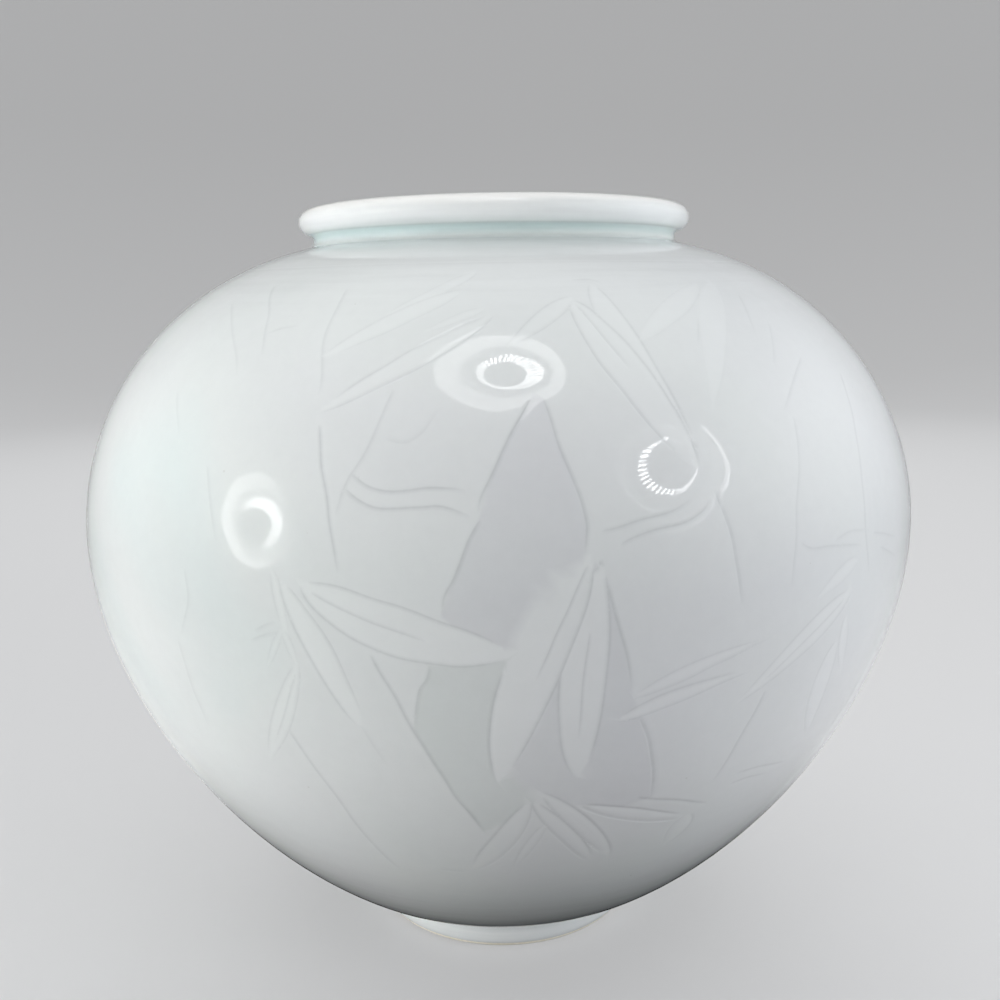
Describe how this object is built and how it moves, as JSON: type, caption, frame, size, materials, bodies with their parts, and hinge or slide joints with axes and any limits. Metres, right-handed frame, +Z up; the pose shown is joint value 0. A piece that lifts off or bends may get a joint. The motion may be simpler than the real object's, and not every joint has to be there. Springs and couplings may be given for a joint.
{
  "type": "ceramic vase",
  "caption": "Globular porcelain vase with a pale celadon glaze, a short neck, a thick rolled lip and a small turned foot ring.",
  "frame": {"origin": "middle of the foot ring, on the surface that the vase stands on", "axes": "+Z up along the turning axis; the pictured side faces -Y, with +X to its right"},
  "size_m": [0.31, 0.31, 0.2776],
  "materials": {
    "porcelain": "bare fired porcelain, matt and slightly buff, seen only on the foot ring",
    "celadon_glaze": "glossy pale blue-green glaze, deeper where it pools"
  },
  "bodies": {
    "root": {"porcelain_body": "porcelain", "outer_glaze": "celadon_glaze", "inner_glaze": "celadon_glaze", "base_glaze": "celadon_glaze"}
  },
  "joints": []
}
